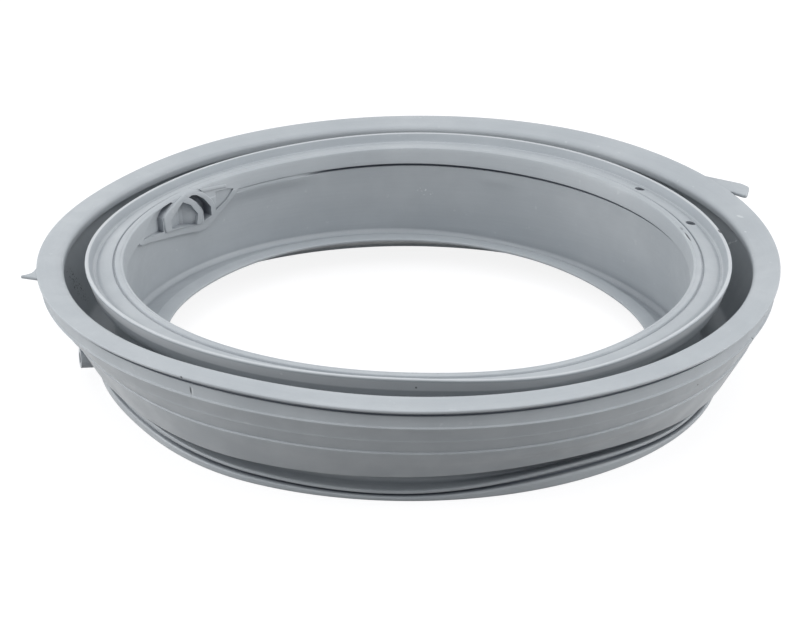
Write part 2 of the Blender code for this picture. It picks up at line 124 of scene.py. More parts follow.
# Marks seen in the photo: kind, first and last pixel, half width in millimetres, and strength
MARKS = (
    ("dark", (190.0, 386.6), (191.0, 396.3), 0.60, 0.97),
    ("pale", (192.2, 387.6), (193.0, 395.4), 0.45, 0.55),
    ("dark", (181.0, 377.0), (181.8, 377.9), 0.70, 0.90),
    ("dark", (684.6, 232.0), (691.5, 241.6), 0.50, 0.95),
    ("pale", (683.2, 232.6), (689.8, 241.6), 0.45, 0.50),
    ("dark", (680.6, 227.6), (682.4, 229.6), 0.85, 0.40),
    ("dark", (718.4, 229.8), (721.0, 233.0), 0.75, 0.97),
    ("dark", (697.7, 384.4), (697.9, 384.9), 0.55, 0.90),
    ("dark", (416.0, 387.4), (416.2, 387.9), 0.60, 0.80),
    ("dark", (248.6, 473.4), (249.8, 480.0), 0.45, 0.90),
    ("dark", (764.4, 315.2), (765.0, 316.4), 0.80, 0.75),
    ("dark", (752.2, 338.2), (752.9, 339.4), 0.80, 0.75),
    ("dark", (669.0, 388.0), (682.0, 392.6), 0.35, 0.30),
    ("pale", (729.0, 243.6), (730.4, 242.8), 0.95, 0.65),
    ("pale", (731.0, 242.8), (735.0, 241.4), 0.35, 0.40),
    ("pale", (735.4, 241.2), (736.6, 240.6), 0.75, 0.60),
    ("pale", (737.0, 215.4), (743.0, 217.4), 0.90, 0.40),
    ("pale", (745.0, 231.4), (745.8, 232.0), 0.70, 0.40),
    ("pale", (281.0, 373.8), (281.6, 374.2), 0.70, 0.50),
    ("speckled", (70.0, 274.0), (84.0, 296.0), 7.00, 0.85),
    ("speckled", (395.0, 373.4), (450.0, 373.0), 1.30, 0.70),
    ("dusted", (419.0, 190.0), (431.0, 194.0), 2.50, 0.70),
)

# Sag of the soft ring: places on the section, and how many millimetres the ring is raised there at
# every 30 degrees, from the photo's right through its back and left to its front
SAG = [
    ((195.0, 62.5), (-0.7, 1.6, 3.8, 2.7, 0.4, -3.4, -2.2, 0.7, 3.0, 0.4, -0.6, -2.5)),
    ((180.5, 62.0), (-2.0, -1.0, 1.4, 1.2, -0.8, -2.6, -1.6, 0.8, 4.1, 2.6, 0.6, -0.8)),
    ((169.0, 64.0), (-1.5, -1.2, 1.1, 1.1, -1.9, -3.6, -1.6, 2.0, 4.6, 4.6, -1.0, -0.3)),
    ((150.5, 62.0), (-0.8, 0.1, 1.8, 2.2, -0.4, -0.3, 0.5, 1.3, 2.6, 2.0, -1.2, -0.7)),
    ((148.5, 54.0), (-0.5, -0.3, 0.8, 1.9, 0.0, -0.2, 0.3, 0.5, 1.0, 1.0, -0.5, -0.5)),
    ((151.0, 15.0), (-9.0, -9.5, -4.9, -0.2, 0.3, 0.0, 0.0, 0.0, 0.0, -1.0, -3.0, -6.0)),
    ((128.0, 15.8), (-4.0, -4.0, -0.4, 2.0, 2.4, 1.0, 1.5, 1.0, 0.5, 0.0, -1.0, -3.0)),
    ((191.8, 52.4), (0.0, 1.0, 2.0, 2.0, 0.0, -2.0, -0.5, 2.0, 2.7, 1.0, -1.0, -1.6)),
    ((183.3, 37.3), (-1.0, 0.0, 1.0, 1.0, 0.0, -0.5, -0.5, -0.5, -0.5, -1.5, -2.4, -2.2)),
    ((172.0, 17.0), (-1.0, 0.0, 0.0, 0.0, 0.0, 0.0, 0.0, 0.0, 0.3, 1.0, 2.4, -1.4)),
    ((163.8, 6.0), (0.0, 0.0, 0.0, 0.0, 0.0, 0.0, 0.3, 1.0, -0.2, -1.8, 2.8, -1.2)),
]
SAG_STEP = 30.0
SAG_BLUR = 6.0
SAG_FOOT = 6.0
PHOTO_TURN = 20.0

# Lower part pressed in on the photo's left
DENT_AZIMUTH = 207.0
DENT_HALF_SPAN = 34.0
DENT_DEPTH = 5.6
DENT_TOP = 54.0
DENT_FADE = 22.0
DENT_ROOT = 12.0

# Soft grey light round the object, at the horizon and overhead
WORLD_LOW = 0.12
WORLD_HIGH = 0.88
WORLD_TINT = (0.95, 0.975, 1.0, 1)

# Soft lamps: name, photo azimuth, elevation, distance and size in metres, power in watts
LAMPS = (
    ("left", 180, 15, 1.5, (1.0, 0.7), 9.5),
    ("right", 0, 15, 1.5, (1.0, 0.7), 7.6),
    ("left front", -128, 48, 1.6, (0.8, 0.6), 3.4),
    ("right front", -36, 48, 1.6, (0.8, 0.6), 2.4),
)

# Floor: half its width in metres, its tone for bounced light, its tone under the shadow, and its glow
FLOOR_HALF = 9.0
FLOOR_BOUNCE = (0.25, 0.25, 0.25, 1)
FLOOR_SHADOW = (0.24, 0.24, 0.25, 1)
FLOOR_GLOW = 0.86
WHITE = (1, 1, 1, 1)

# Rubber tones, the painted shade for folds and for the lip's inner wall, the painted highlight for the lip's
# top, and how far the painted fold shade reaches
CLOUD_DARK = (0.438, 0.470, 0.498, 1)
CLOUD_PALE = (0.492, 0.522, 0.548, 1)
MOTTLE_GREY = (0.425, 0.452, 0.478, 1)
STREAK_GREY = (0.60, 0.625, 0.645, 1)
DUST_GREY = (0.70, 0.72, 0.73, 1)
FOLD_SHADE_GREY = (0.085, 0.098, 0.130, 1)
LIP_WALL_SHADE = (0.24, 0.27, 0.30, 1)
LIP_TOP_HIGHLIGHT = (0.70, 0.72, 0.74, 1)
MARK_PALE = (0.80, 0.82, 0.83, 1)
MARK_DARK = (0.045, 0.050, 0.060, 1)
FOLD_SHADE_REACH = 9.0
CREASE_ANGLE = 42.0

# Nozzle boss on the inner band
NOZZLE_AZIMUTH = 167.0
BOSS_PROUD = 0.2
HOOD_PROUD = 1.1
BAR_PROUD = 0.7
CELL_DEPTH = 0.8
SLOT_DEPTH = 4.0
POCKET_DEPTH = 5.0
BOSS_ROOT = 2.0
BAND_LEAN = 1.9
BAND_INNER_HEIGHT = 8.6

# Bulges of the tube wall: photo azimuth, level, reach sideways and upwards, and the radius they come to
BULGES = ((122.0, 52.4, 12.0, 4.5, 147.6), (71.0, 47.5, 3.6, 3.0, 149.0))

# Fin, ear, hose stub and drain holes
TAB_ROOT = 3.0
FIN_AZIMUTH = 207.0
FIN_THICKNESS = 1.8
EAR_AZIMUTH = 45.0
EAR_THICKNESS = 2.2
STUB_AZIMUTH = 207.0
STUB_DIAMETER = 11.0
STUB_BORE = 6.0
STUB_REACH = 21.5
STUB_LEVEL = 13.0
DRAIN_AZIMUTHS = (39.1, 58.0)
DRAIN_RADIUS = 159.9
DRAIN_BORE = 5.4


def rounded(corners):
    """Closed line through corners (radius, height, rounding), each rounding drawn as an arc."""
    points = []
    count = len(corners)
    for i, (x, y, rounding) in enumerate(corners):
        here = Vector((x, y))
        back = Vector(corners[i - 1][:2]) - here
        on = Vector(corners[(i + 1) % count][:2]) - here
        turn = pi - back.angle(on)
        reach = rounding * tan(turn / 2)
        limit = 0.48 * min(back.length, on.length)
        if reach > limit:
            rounding *= limit / reach
            reach = limit
        if rounding < 0.05 or turn < radians(2):
            points.append((x, y))
            continue
        first = here + back.normalized() * reach
        last = here + on.normalized() * reach
        middle = here + (back.normalized() + on.normalized()).normalized() * (rounding / cos(turn / 2))
        start = first - middle
        side = 1.0 if start.cross(last - middle) > 0 else -1.0
        pieces = max(2, round(turn / radians(ARC_PITCH)))
        for k in range(pieces + 1):
            spun = Matrix.Rotation(side * turn * k / pieces, 2) @ start
            points.append(tuple(middle + spun))
    return points


def ridge(start, end, place, height):
    """Corners of a fine moulding ridge that stands out of the tapered wall."""
    along = (Vector(end) - Vector(start)).normalized()
    out = Vector((-along.y, along.x))
    foot = Vector(start) + along * place
    return [
        (*(foot - along * RIDGE_HALF_WIDTH * 1.6), 0.3),
        (*(foot + out * height - along * RIDGE_HALF_WIDTH * 0.3), 0.3),
        (*(foot + out * height + along * RIDGE_HALF_WIDTH * 0.2), 0.2),
        (*(foot + along * RIDGE_HALF_WIDTH), 0.3),
    ]


def outer_corners():
    """Rim, panel groove, clamp band, tapered wall, neck and tub ring, going down the outside."""
    under_rim = RIM_LEVEL - RIM_THICKNESS
    root = RIM_RADIUS - GROOVE_DEPTH
    band_foot = BAND_LEVEL - BAND_HEIGHT
    return [
        (RIM_INNER_RADIUS, RIM_LEVEL, RIM_ROLL),
        (RIM_RADIUS, RIM_LEVEL, 0.7),
        (RIM_RADIUS - 0.2, RIM_LEVEL - RIM_EDGE, 0.5),
        (root, under_rim, 0.4),
        (root, BAND_LEVEL, 0.4),
        (BAND_RADIUS, BAND_LEVEL, 0.6),
        (BAND_RADIUS - 0.1, band_foot, 0.25),
        (BAND_RADIUS + LEDGE_WIDTH, band_foot - 0.6, 0.35),
        (*TAPER_TOP, 0.6),
        *ridge(TAPER_TOP, LEDGE, RIDGE_PLACE, RIDGE_HEIGHT),
        (*LEDGE, 0.3),
        (LEDGE[0] + LEDGE_WIDTH, LEDGE[1] - 0.6, 0.4),
        (SKIRT_RADIUS, NECK_LEVEL, 1.3),
        (TUBE_OUTER_RADIUS, NECK_LEVEL, 1.8),
        (TUBE_OUTER_RADIUS, TUB_RING_HEIGHT, 1.6),
        (UPPER_BEAD_RADIUS, TUB_RING_HEIGHT, 1.0),
        (UPPER_BEAD_RADIUS, 5.2, 0.9),
        (TUB_GROOVE_RADIUS, 5.2, 0.4),
        (TUB_GROOVE_RADIUS, 3.8, 0.4),
        (LOWER_BEAD_RADIUS, 3.8, 1.0),
        (LOWER_BEAD_RADIUS - 0.3, 0.0, 1.1),
        (FOOT_RADIUS, 0.0, 0.4),
        (FOOT_RADIUS, 1.4, 0.8),
    ]


def inner_corners():
    """Shelf, tube wall, inner band, bead, seat, lip and channel, going up the inside."""
    shelf_under = SHELF_LEVEL - SHELF_EDGE
    shelf_fold = OPENING_RADIUS + SHELF_FLAT
    lip_foot = LIP_LEVEL - 12.0
    along = Vector((SKIRT_RADIUS, NECK_LEVEL)) - Vector(TAPER_TOP)
    lean = along.x / along.y
    inset = WALL / cos(atan2(along.x, along.y) - pi)
    wall_foot = SKIRT_RADIUS + lean * WALL - inset
    wall_top = TAPER_TOP[0] - inset
    collar = RIM_RADIUS - GROOVE_DEPTH - WALL
    return [
        (TUBE_RADIUS + 0.5, TUB_RING_HEIGHT + 1.2, 2.0),
        (TUBE_RADIUS - 3.7, TROUGH_LEVEL - 2.0, 3.0),
        (shelf_fold + 1.0, shelf_under - 1.0, 3.0),
        (OPENING_RADIUS + 0.1, shelf_under, 0.5),
        (OPENING_RADIUS, SHELF_LEVEL, 0.6),
        (shelf_fold, SHELF_LEVEL, 2.6),
        (TUBE_RADIUS - 1.8, TROUGH_LEVEL, 1.6),
        (TUBE_RADIUS, TROUGH_LEVEL + 2.4, 1.8),
        (*tube_wall(UNDERBAND_LEVEL - 1.7), 0.4),
        (UNDERCUT_RADIUS, UNDERBAND_LEVEL - 1.3, 0.2),
        (UNDERCUT_RADIUS, UNDERBAND_LEVEL - 0.2, 0.2),
        (BAND_FOOT_RADIUS, UNDERBAND_LEVEL + 0.1, 0.5),
        (MOUTH_RADIUS, BEAD_LEVEL, 0.9),
        (MOUTH_RADIUS + 1.1, BEAD_LEVEL + 0.05, 0.2),
        (MOUTH_RADIUS + 1.4, BEAD_LEVEL - 0.2, 0.2),
        (MOUTH_RADIUS + 1.8, BEAD_LEVEL, 0.3),
        (BEAD_RADIUS - 0.5, BEAD_LEVEL, 0.6),
        (BEAD_RADIUS, BEAD_LEVEL - 1.5, 0.3),
        (BEAD_RADIUS + 0.6, BEAD_LEVEL - 1.5, 0.3),
        (BEAD_RADIUS + 1.0, BEAD_LEVEL - 0.7, 0.6),
        (BEAD_RADIUS + 8.0, BEAD_LEVEL - 1.1, 2.5),
        (SEAT_RADIUS - 3.8, SEAT_LEVEL, 1.2),
        (SEAT_RADIUS - 2.9, SEAT_LEVEL + 1.0, 0.5),
        (SEAT_RADIUS - 2.1, SEAT_LEVEL + 1.1, 0.6),
        (SEAT_RADIUS, LIP_LEVEL, 0.8),
        (LIP_RADIUS, LIP_LEVEL, 0.9),
        (LIP_RADIUS - 4.2, lip_foot, 5.0),
        (TUBE_OUTER_RADIUS + 1.2, lip_foot - 7.2, 5.0),
        (TUBE_OUTER_RADIUS, lip_foot - 10.0, 3.0),
        (TUBE_OUTER_RADIUS, NECK_LEVEL + WALL, 3.0),
        (wall_foot, NECK_LEVEL + WALL, 3.0),
        (wall_top, TAPER_TOP[1], 3.0),
        (collar, BAND_LEVEL, 1.0),
        (collar, RIM_LEVEL - RIM_THICKNESS - 0.6, 0.8),
        (RIM_INNER_RADIUS, RIM_LEVEL - RIM_INNER_EDGE, 0.3),
    ]


def tube_wall(level):
    """Point of the tube wall's inner face at a level."""
    foot, top = TROUGH_LEVEL + 2.4, UNDERBAND_LEVEL
    return TUBE_RADIUS + (TUBE_TOP_RADIUS - TUBE_RADIUS) * (level - foot) / (top - foot), level


def section():
    """The ring's section as rows of points."""
    line = rounded(outer_corners() + inner_corners())
    rows = []
    for i, start in enumerate(line):
        end = line[(i + 1) % len(line)]
        pieces = max(1, round(hypot(end[0] - start[0], end[1] - start[1]) / ROW_PITCH))
        rows += [(start[0] + (end[0] - start[0]) * k / pieces, start[1] + (end[1] - start[1]) * k / pieces)
                 for k in range(pieces)]
    return np.array(rows)


def smooth(value):
    """Smooth step from 0 to 1."""
    value = np.clip(value, 0.0, 1.0)
    return value * value * (3 - 2 * value)


def ring_mesh():
    """The whole ring as a grid of rows and columns, with the tube wall's bulges."""
    rows = section()
    azimuths = np.radians(np.arange(0.0, 360.0, COLUMN_PITCH))
    radius = np.repeat(rows[:, 0][:, None], len(azimuths), 1)
    height = np.repeat(rows[:, 1][:, None], len(azimuths), 1)
    on_wall = (height > SHELF_LEVEL + 4) & (height < UNDERBAND_LEVEL - 0.05)
    on_wall &= radius < UNDERCUT_RADIUS + 0.2
    for azimuth, level, sideways, upwards, nearest in BULGES:
        turned = (np.degrees(azimuths) - PHOTO_TURN - azimuth + 180) % 360 - 180
        swell = np.exp(-(turned[None, :] / sideways) ** 4 - ((height - level) / upwards) ** 2)
        radius -= (radius - nearest) * swell * on_wall
    points = np.stack([radius * np.cos(azimuths), radius * np.sin(azimuths), height], -1)
    tall, wide = radius.shape
    index = np.arange(tall * wide).reshape(tall, wide)
    below, right = np.roll(index, -1, 0), np.roll(index, -1, 1)
    corner = np.roll(below, -1, 1)
    faces = np.stack([index, right, corner, below], -1).reshape(-1, 4)
    mesh = bpy.data.meshes.new("seal")
    mesh.from_pydata((points.reshape(-1, 3) * MM).tolist(), [], faces.tolist())
    return mesh


def band_face(level):
    """Radius of the inner band's slanted face at a level measured from the rim."""
    share = (level + RIM_LEVEL - UNDERBAND_LEVEL) / BAND_INNER_HEIGHT
    return BAND_FOOT_RADIUS + BAND_LEAN * min(1.0, max(0.0, share))


def wrapped(outline, proud, depth, rounding=0.0, crease=None):
    """Plate bent round the axis on the band's face, about the nozzle's azimuth.

    Its outline is (right of the nozzle, level from the rim). It stands proud of the face and goes to
    a depth behind it, which grows towards the crease where one is given.
    """
    per_degree = radians(1.0) * BAND_FOOT_RADIUS
    bm = bmesh.new()
    face = bm.faces.new([bm.verts.new((x, y, 0.0)) for x, y in outline])
    raised = bmesh.ops.extrude_face_region(bm, geom=[face])
    lift = [item for item in raised["geom"] if isinstance(item, bmesh.types.BMVert)]
    bmesh.ops.translate(bm, verts=lift, vec=(0.0, 0.0, 1.0))
    bmesh.ops.recalc_face_normals(bm, faces=bm.faces)
    if rounding:
        front = [edge for edge in bm.edges if max(vert.co.z for vert in edge.verts) < 0.5]
        scale = proud + depth
        for vert in bm.verts:
            vert.co.z *= scale
        bmesh.ops.bevel(bm, geom=front, offset=rounding, segments=3, affect="EDGES", profile=0.5)
        for vert in bm.verts:
            vert.co.z /= scale
    cuts = list(np.arange(min(x for x, _ in outline), max(x for x, _ in outline), per_degree))[1:]
    for x in cuts + ([crease] if crease is not None else []):
        everything = bm.verts[:] + bm.edges[:] + bm.faces[:]
        bmesh.ops.bisect_plane(bm, geom=everything, plane_co=(x, 0, 0), plane_no=(1, 0, 0))
    low, high = min(x for x, _ in outline), max(x for x, _ in outline)
    for vert in bm.verts:
        x, y, share = vert.co
        back = depth
        if crease is not None:
            edge = low if x < crease else high
            back = depth * (0.12 + 0.88 * (x - edge) / (crease - edge))
        radius = band_face(y) - proud + (proud + back) * share
        angle = radians(NOZZLE_AZIMUTH - x / per_degree)
        vert.co = Vector((radius * cos(angle), radius * sin(angle), RIM_LEVEL + y)) * MM
    return finished(bm, "wrapped")


def add_boss(seal):
    """Nozzle boss: a lozenge with a hood, an arch and a bar, and the pockets between them."""
    lozenge = [(-49, -8.8), (-49, -9.8), (-45, -12.0), (-20, -18.3), (16, -25.9), (20.5, -26.3), (24, -25.2),
               (41.5, -13.6), (46.4, -8.8)]
    hood = [(-16.2, -7.0), (-14.4, -5.6), (1.6, -1.7), (4.4, -1.2), (7.2, -2.0), (12.4, -5.7),
            (17.8, -13.8), (18.2, -21.8), (-14.8, -16.2), (-16.0, -13.4)]
    arch = [(4.0, -1.4), (9, -0.9), (14, -1.1), (20.4, -3.9), (26.0, -9.8), (28.0, -13.5), (28.0, -17.8),
            (24.8, -20.2), (17.6, -21.6), (17.2, -13.8), (12.2, -5.6)]
    bar = [(18.2, -1.9), (37.4, -4.3), (38.2, -5.2), (37.6, -6.2), (20.4, -4.2)]
    left_cell = [(-42.0, -9.8), (-36, -6.6), (-30, -4.2), (-22, -2.1), (-6, -1.7), (-4.5, -2.6),
                 (-15.8, -6.2), (-16.9, -7.2), (-16.9, -14.8)]
    pocket = [(3.4, -4.5), (-9.6, -10.8), (-9.4, -15.9), (13.4, -20.6), (14.4, -14.7), (9.6, -8.2)]
    arch_slot = [(8.4, -3.3), (11.4, -3.0), (14.8, -3.9), (20.2, -7.8), (24.8, -13.6), (25.2, -18.8),
                 (19.3, -20.3), (19.0, -14.6), (13.8, -7.6)]
    right_cell = [(29.8, -6.8), (38.8, -7.3), (42.6, -8.4), (37.2, -13.4), (29.6, -17.2), (29.9, -12.8)]
    root = BOSS_ROOT + BAND_LEAN
    joined_or_cut(seal, [wrapped(lozenge, BOSS_PROUD, root, 0.35)], "UNION")
    joined_or_cut(seal, [wrapped(left_cell, WALL, SLOT_DEPTH, crease=-5.0)], "DIFFERENCE")
    joined_or_cut(seal, [wrapped(hood, HOOD_PROUD, root, 0.7), wrapped(arch, HOOD_PROUD, root, 0.7),
                         wrapped(bar, BAR_PROUD, root, 0.4)], "UNION")
    joined_or_cut(seal, [wrapped(pocket, WALL, POCKET_DEPTH, crease=5.6),
                         wrapped(arch_slot, WALL, POCKET_DEPTH),
                         wrapped(right_cell, WALL, CELL_DEPTH)], "DIFFERENCE")


def plate(outline, low, high, azimuth, rounding):
    """Flat plate in the rim's plane with rounded edges. Its outline is (outwards, sideways)."""
    bm = bmesh.new()
    turn = Matrix.Rotation(radians(azimuth), 4, "Z")
    face = bm.faces.new([bm.verts.new(turn @ Vector((x, y, low)) * MM) for x, y in outline])
    raised = bmesh.ops.extrude_face_region(bm, geom=[face])
    lift = [item for item in raised["geom"] if isinstance(item, bmesh.types.BMVert)]
    bmesh.ops.translate(bm, verts=lift, vec=(0.0, 0.0, (high - low) * MM))
    bmesh.ops.recalc_face_normals(bm, faces=bm.faces)
    flat_edges = [edge for edge in bm.edges if abs(edge.verts[0].co.z - edge.verts[1].co.z) < 1e-6]
    bmesh.ops.bevel(bm, geom=flat_edges, offset=rounding * MM, segments=3, affect="EDGES", profile=0.5)
    return finished(bm, "plate")


def rod(diameter, start, end, sides=48):
    """Cylinder between two points."""
    start, end = Vector(start) * MM, Vector(end) * MM
    along = end - start
    place = Matrix.Translation((start + end) / 2) @ along.to_track_quat("Z", "Y").to_matrix().to_4x4()
    bm = bmesh.new()
    bmesh.ops.create_cone(bm, cap_ends=True, segments=sides, radius1=diameter / 2 * MM,
                          radius2=diameter / 2 * MM, depth=along.length, matrix=place)
    return finished(bm, "rod")


def finished(bm, name):
    """Object made from a mesh that is closed and faces out."""
    bmesh.ops.recalc_face_normals(bm, faces=bm.faces)
    if bm.calc_volume(signed=True) < 0:
        bmesh.ops.reverse_faces(bm, faces=bm.faces)
    mesh = bpy.data.meshes.new(name)
    bm.to_mesh(mesh)
    bm.free()
    thing = bpy.data.objects.new(name, mesh)
    bpy.context.scene.collection.objects.link(thing)
    return thing


def fin():
    """Pointed fin with a long hollow flank and a short steep one."""
    middle = RIM_LEVEL - RIM_THICKNESS / 2
    outline = [(RIM_RADIUS - TAB_ROOT, -11.0), (RIM_RADIUS - 0.4, -11.0), (196.0, -6.4), (197.6, -3.4),
               (200.2, -1.5), (202.8, -0.3), (203.0, 0.2), (202.6, 0.5), (199.4, 1.7),
               (RIM_RADIUS - 0.2, 3.8), (RIM_RADIUS - TAB_ROOT, 3.8)]
    return plate(outline, middle - FIN_THICKNESS / 2, middle + FIN_THICKNESS / 2, FIN_AZIMUTH, 0.5)


def ear():
    """Ear that leaves the rim at a tangent and ends in a blunt hook over a notch."""
    middle = RIM_LEVEL - RIM_THICKNESS / 2
    outline = [(RIM_RADIUS - TAB_ROOT, 5.4), (195.9, 5.4), (199.0, -0.5), (199.4, -1.2), (200.4, -1.9),
               (201.6, -1.6), (202.2, -1.0), (207.0, 5.9), (207.7, 7.2), (207.8, 8.4), (207.4, 10.4),
               (206.2, 13.7), (191.0, 32.0), (188.0, 32.0)]
    return plate(outline, middle - EAR_THICKNESS / 2, middle + EAR_THICKNESS / 2, EAR_AZIMUTH, 0.7)


def around(azimuth, radius, height):
    """Point at an azimuth in degrees, a radius and a height."""
    return Vector((radius * cos(radians(azimuth)), radius * sin(radians(azimuth)), height))


def joined_or_cut(thing, tools, operation):
    """Apply one exact Boolean for each tool and remove the tools."""
    for tool in tools:
        step = thing.modifiers.new("step", "BOOLEAN")
        step.operation = operation
        step.solver = "MANIFOLD"
        step.object = tool
    bpy.context.view_layer.update()
    mesh = bpy.data.meshes.new_from_object(thing.evaluated_get(bpy.context.evaluated_depsgraph_get()))
    thing.modifiers.clear()
    thing.data = mesh
    for tool in tools:
        bpy.data.objects.remove(tool, do_unlink=True)


def build_seal():
    """The seal's fine mesh with its tabs, stub and holes."""
    seal = bpy.data.objects.new("seal", ring_mesh())
    bpy.context.scene.collection.objects.link(seal)
    level = STUB_LEVEL
    stub_end = TUBE_OUTER_RADIUS + STUB_REACH
    stub = rod(STUB_DIAMETER, around(STUB_AZIMUTH, TUBE_OUTER_RADIUS - WALL / 2, level),
               around(STUB_AZIMUTH, stub_end, level))
    joined_or_cut(seal, [fin(), ear(), stub], "UNION")
    add_boss(seal)
    cutters = [rod(STUB_BORE, around(STUB_AZIMUTH, stub_end - 13, level),
                   around(STUB_AZIMUTH, stub_end + WALL, level))]
    for azimuth in DRAIN_AZIMUTHS:
        cutters.append(rod(DRAIN_BORE, around(azimuth, DRAIN_RADIUS, LIP_LEVEL + WALL),
                           around(azimuth, DRAIN_RADIUS, LIP_LEVEL - 24)))
    joined_or_cut(seal, cutters, "DIFFERENCE")
    seal.data.name = "seal"
    return seal


def round_the_ring(heights, azimuth):
    """Smooth curve round the ring through heights given at even steps of azimuth."""
    place = np.degrees(azimuth) / SAG_STEP
    first = np.floor(place).astype(int)
    share = place - first
    before, start, end, after = (np.take(heights, first + step, mode="wrap") for step in (-1, 0, 1, 2))
    slope_in, slope_out = (end - before) / 2, (after - start) / 2
    rise = start - end
    return start + share * (slope_in + share * (-3 * rise - 2 * slope_in - slope_out
                                                + share * (2 * rise + slope_in + slope_out)))


def sag(mesh):
    """Move the seal's points by the sag, each by the places of the section that lie near it."""
    count = len(mesh.vertices)
    points = np.empty(count * 3)
    mesh.vertices.foreach_get("co", points)
    points = points.reshape(-1, 3)
    radius = np.hypot(points[:, 0], points[:, 1]) / MM
    height = points[:, 2] / MM
    azimuth = np.arctan2(points[:, 1], points[:, 0]) - radians(PHOTO_TURN)
    total = np.zeros(count)
    lift = np.zeros(count)
    for (r, z), heights in SAG:
        weight = 1.0 / ((radius - r) ** 2 + (height - z) ** 2 + SAG_BLUR) ** 1.5
        lift += weight * round_the_ring(heights, azimuth)
        total += weight
    lift = lift / total * smooth(height / SAG_FOOT)
    turned = (np.degrees(azimuth) - DENT_AZIMUTH + 180.0) % 360.0 - 180.0
    press = DENT_DEPTH * smooth(1 - np.abs(turned) / DENT_HALF_SPAN)
    press = press * smooth((DENT_TOP - height) / DENT_FADE)
    press = press * smooth((radius - TUBE_OUTER_RADIUS) / DENT_ROOT)
    points[:, 0] -= points[:, 0] / (radius * MM) * press * MM
    points[:, 1] -= points[:, 1] / (radius * MM) * press * MM
    points[:, 2] += lift * MM
    mesh.vertices.foreach_set("co", points.ravel())
    mesh.update()


def shade(mesh):
    """Smooth shading with creases only at real corners."""
    mesh.shade_smooth()
    mesh.set_sharp_from_angle(angle=radians(CREASE_ANGLE))


class Graph:
    """Short hand for a material's nodes."""

    def __init__(self, material):
        self.tree = material.node_tree
        self.nodes = self.tree.nodes

    def add(self, kind, settings=(), **inputs):
        node = self.nodes.new(kind)
        for name, value in dict(settings).items():
            setattr(node, name, value)
        for name, value in inputs.items():
            key = int(name[1:]) if name[0] == "i" and name[1:].isdigit() else name.replace("_", " ")
            self.feed(node.inputs[key], value)
        return node

    def feed(self, socket, value):
        if isinstance(value, bpy.types.NodeSocket):
            self.tree.links.new(value, socket)
        else:
            socket.default_value = value

    def math(self, operation, *values, clamp=False):
        node = self.nodes.new("ShaderNodeMath")
        node.operation = operation
        node.use_clamp = clamp
        for socket, value in zip(node.inputs, values):
            self.feed(socket, value)
        return node.outputs[0]

    def noise(self, vector, scale, detail=3.0, roughness=0.5):
        node = self.add("ShaderNodeTexNoise", Vector=vector, Scale=scale, Detail=detail, Roughness=roughness)
        return node.outputs["Fac"]

    def span(self, value, low, high, start=0.0, end=1.0):
        """The value's share of the way from low to high, as a number from start to end."""
        node = self.nodes.new("ShaderNodeMapRange")
        node.interpolation_type = "SMOOTHSTEP"
        for key, number in (("Value", value), ("From Min", low), ("From Max", high), ("To Min", start),
                            ("To Max", end)):
            self.feed(node.inputs[key], number)
        return node.outputs["Result"]

    def band(self, value, low, high, blur):
        """1 where the value lies between two sizes in millimetres, fading to 0 past each of them."""
        rise = self.span(value, (low - blur) * MM, low * MM)
        return self.math("MULTIPLY", rise, self.span(value, high * MM, (high + blur) * MM, 1.0, 0.0))

    def backdrop_ray(self):
        """1 for rays that show the backdrop: the camera's, and those mirrored or let through."""
        ray = self.add("ShaderNodeLightPath").outputs
        mirrored = self.math("MAXIMUM", ray["Is Glossy Ray"], ray["Is Transmission Ray"])
        return self.math("MAXIMUM", ray["Is Camera Ray"], mirrored)

    def mix(self, share, first, second, blend="MIX"):
        node = self.nodes.new("ShaderNodeMix")
        node.data_type = "RGBA"
        node.blend_type = blend
        self.feed(node.inputs["Factor"], share)
        self.feed(node.inputs["A"], first)
        self.feed(node.inputs["B"], second)
        return node.outputs["Result"]


def new_material(name):
    material = bpy.data.materials.new(name)
    material.use_nodes = True
    material.node_tree.nodes.clear()
    return material, Graph(material)


def pixel_place(tree, camera, pixel):
    """Point of the seal that the camera sees at a pixel of the photo."""
    x = (pixel[0] - IMAGE_SIZE[0] / 2) / FOCAL_PIXELS
    y = (IMAGE_SIZE[1] / 2 - pixel[1]) / FOCAL_PIXELS
    sight = camera.rotation_quaternion @ Vector((x, y, -1.0))
    return tree.ray_cast(camera.location, sight.normalized())[0]


def placed_marks(seal, camera):
    """Each mark's kind, middle, direction, half sizes and strength, found on the seal's surface."""
    bm = bmesh.new()
    bm.from_mesh(seal.data)
    tree = BVHTree.FromBMesh(bm)
    bm.free()
    places = []
    for kind, first, last, width, strength in MARKS:
        start, end = pixel_place(tree, camera, first), pixel_place(tree, camera, last)
        if start is None or end is None:
            continue
        along = end - start
        half = (along.length / 2 + width * MM, width * MM, width * MM)
        places.append((kind, (start + end) / 2, along.to_track_quat("X", "Z").to_euler(), half, strength))
    return places


